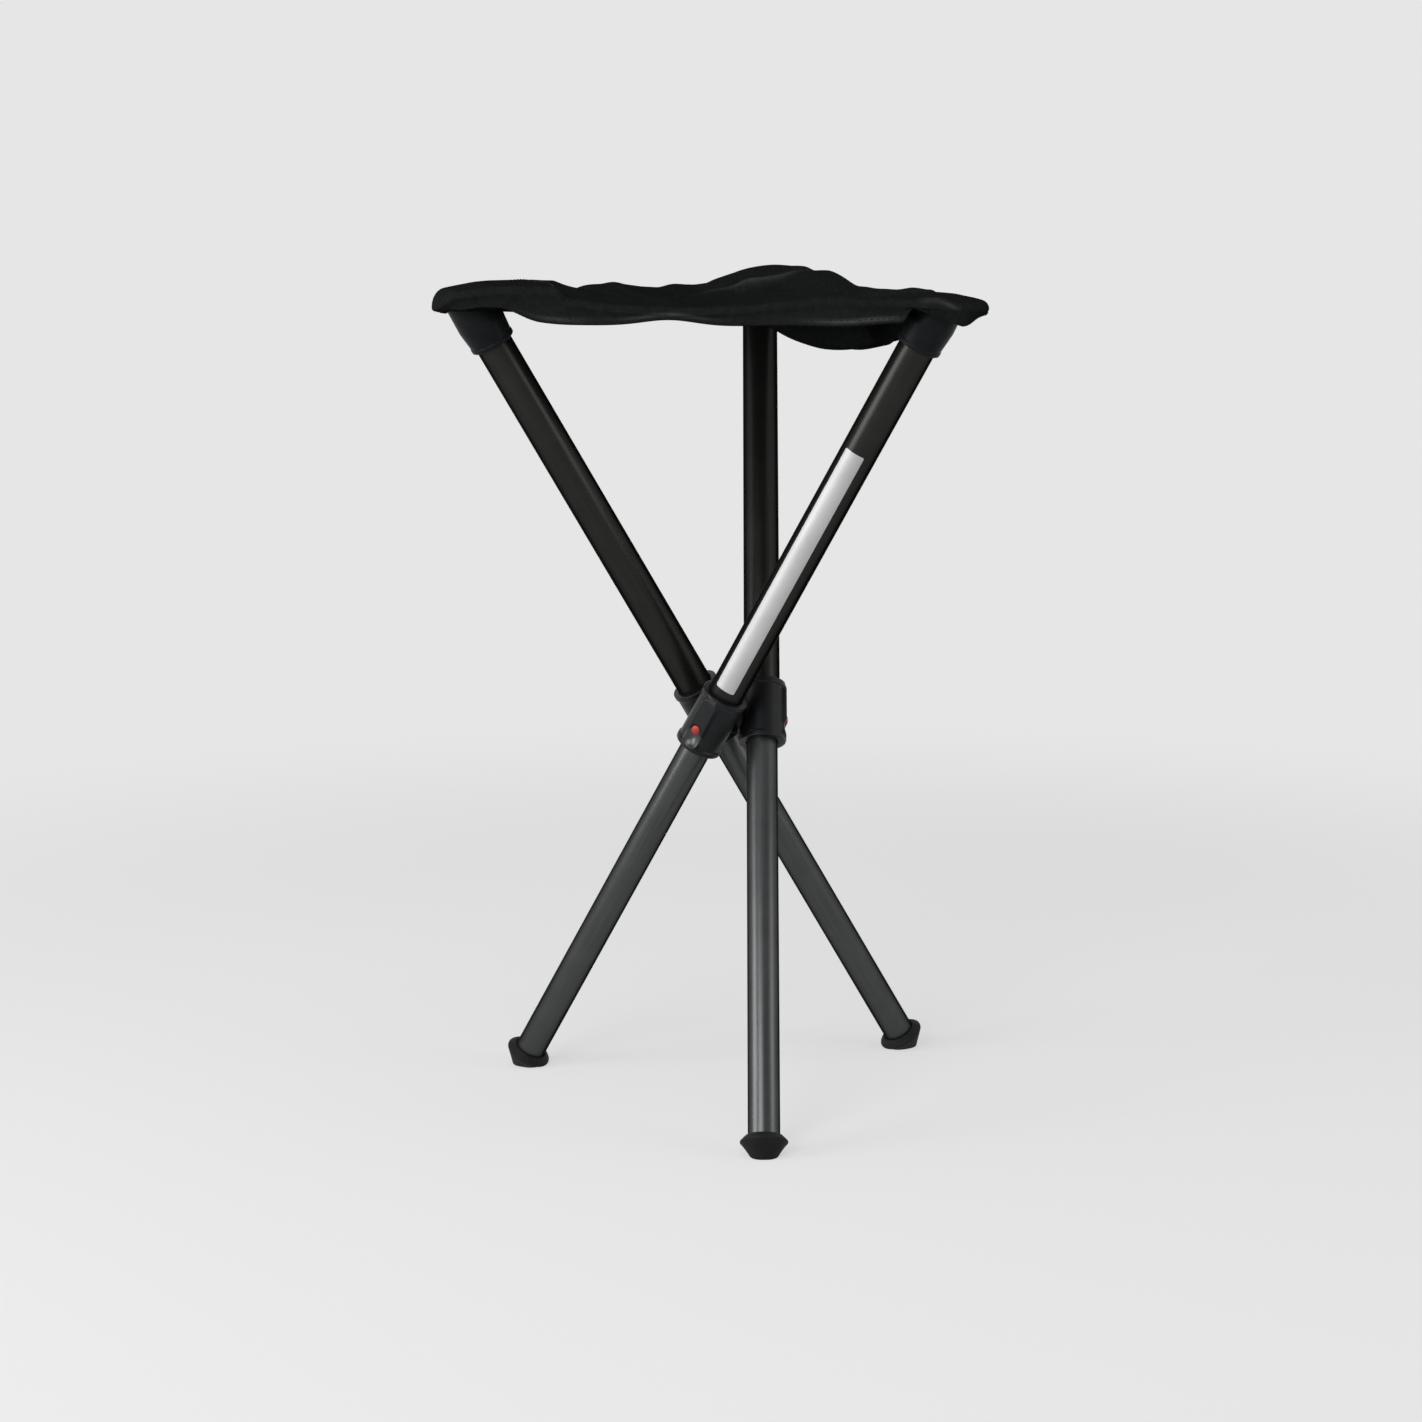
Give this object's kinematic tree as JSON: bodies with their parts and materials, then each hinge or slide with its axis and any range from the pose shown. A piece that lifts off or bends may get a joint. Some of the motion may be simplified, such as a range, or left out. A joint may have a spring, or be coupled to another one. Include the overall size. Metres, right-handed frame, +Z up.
{
  "type": "telescopic tripod stool",
  "caption": "Folding tripod stool: telescopic tube legs cross at a hinged hub under a slack triangular cloth seat, with push-button leg locks and rubber feet.",
  "frame": {"origin": "on the floor, under the middle of the stool's box, with the stool open and its legs locked at full length", "axes": "+Z up; +Y to the back, over the seat corner of leg a; -Y to the front, where leg a's foot stands; +X to the right"},
  "size_m": [0.3248, 0.335, 0.5],
  "materials": {
    "black_plastic": "moulded glass-filled nylon, lightly grained",
    "black_tube": "satin black anodised tube",
    "grey_tube": "satin dark grey anodised tube",
    "steel": "plain steel",
    "black_rubber": "matt moulded rubber",
    "red_plastic": "smooth red moulding",
    "black_cloth": "woven black polyester with a folded hem"
  },
  "bodies": {
    "hub": {"hub_core": "black_plastic", "pivot_pin_a": "steel", "pivot_pin_b": "steel", "pivot_pin_c": "steel", "seat_panel": "black_cloth"},
    "upper_leg_a": {"joint_sleeve_a": "black_plastic", "upper_tube_a": "black_tube", "top_fitting_a": "black_plastic", "corner_pocket_a": "black_cloth"},
    "upper_leg_b": {"joint_sleeve_b": "black_plastic", "upper_tube_b": "black_tube", "top_fitting_b": "black_plastic", "corner_pocket_b": "black_cloth"},
    "upper_leg_c": {"joint_sleeve_c": "black_plastic", "upper_tube_c": "black_tube", "top_fitting_c": "black_plastic", "corner_pocket_c": "black_cloth"},
    "lower_leg_a": {"lower_tube_a": "grey_tube", "guide_bush_a": "black_plastic", "lock_spring_a": "steel", "foot_a": "black_rubber"},
    "lower_leg_b": {"lower_tube_b": "grey_tube", "guide_bush_b": "black_plastic", "lock_spring_b": "steel", "foot_b": "black_rubber"},
    "lower_leg_c": {"lower_tube_c": "grey_tube", "guide_bush_c": "black_plastic", "lock_spring_c": "steel", "foot_c": "black_rubber"},
    "button_a": {"lock_button_a": "red_plastic"},
    "button_b": {"lock_button_b": "red_plastic"},
    "button_c": {"lock_button_c": "red_plastic"}
  },
  "joints": [
    {"name": "fold_a", "type": "hinge", "parent": "hub", "child": "upper_leg_a", "pos_m": [0.03158, -0.01727, 0.234], "axis": [1, 0, 0], "range_deg": [0, 31.4], "deforming": ["seat_panel"]},
    {"name": "fold_b", "type": "hinge", "parent": "hub", "child": "upper_leg_b", "pos_m": [0.00008, 0.00092, 0.234], "axis": [-0.5, 0.866, 0], "range_deg": [0, 31.4], "deforming": ["seat_panel"]},
    {"name": "fold_c", "type": "hinge", "parent": "hub", "child": "upper_leg_c", "pos_m": [0.00008, -0.03546, 0.234], "axis": [-0.5, -0.866, 0], "range_deg": [0, 31.4], "deforming": ["seat_panel"]},
    {"name": "retract_a", "type": "slide", "parent": "upper_leg_a", "child": "lower_leg_a", "axis": [0, 0.521, 0.8536], "range_m": [0, 0.225], "deforming": ["lock_spring_a"]},
    {"name": "retract_b", "type": "slide", "parent": "upper_leg_b", "child": "lower_leg_b", "axis": [-0.4512, -0.2605, 0.8536], "range_m": [0, 0.225], "deforming": ["lock_spring_b"]},
    {"name": "retract_c", "type": "slide", "parent": "upper_leg_c", "child": "lower_leg_c", "axis": [0.4512, -0.2605, 0.8536], "range_m": [0, 0.225], "deforming": ["lock_spring_c"]},
    {"name": "press_a", "type": "slide", "parent": "upper_leg_a", "child": "button_a", "axis": [-1, 0, 0], "range_m": [0, 0.0013], "stiffness_N_per_m": 1500, "springref_m": -0.002, "deforming": ["lock_spring_a"]},
    {"name": "press_b", "type": "slide", "parent": "upper_leg_b", "child": "button_b", "axis": [0.5, -0.866, 0], "range_m": [0, 0.0013], "stiffness_N_per_m": 1500, "springref_m": -0.002, "deforming": ["lock_spring_b"]},
    {"name": "press_c", "type": "slide", "parent": "upper_leg_c", "child": "button_c", "axis": [0.5, 0.866, 0], "range_m": [0, 0.0013], "stiffness_N_per_m": 1500, "springref_m": -0.002, "deforming": ["lock_spring_c"]}
  ],
  "couplings": [
    {"joint": "fold_b", "follows": "fold_a", "ratio": 1},
    {"joint": "fold_c", "follows": "fold_a", "ratio": 1}
  ]
}
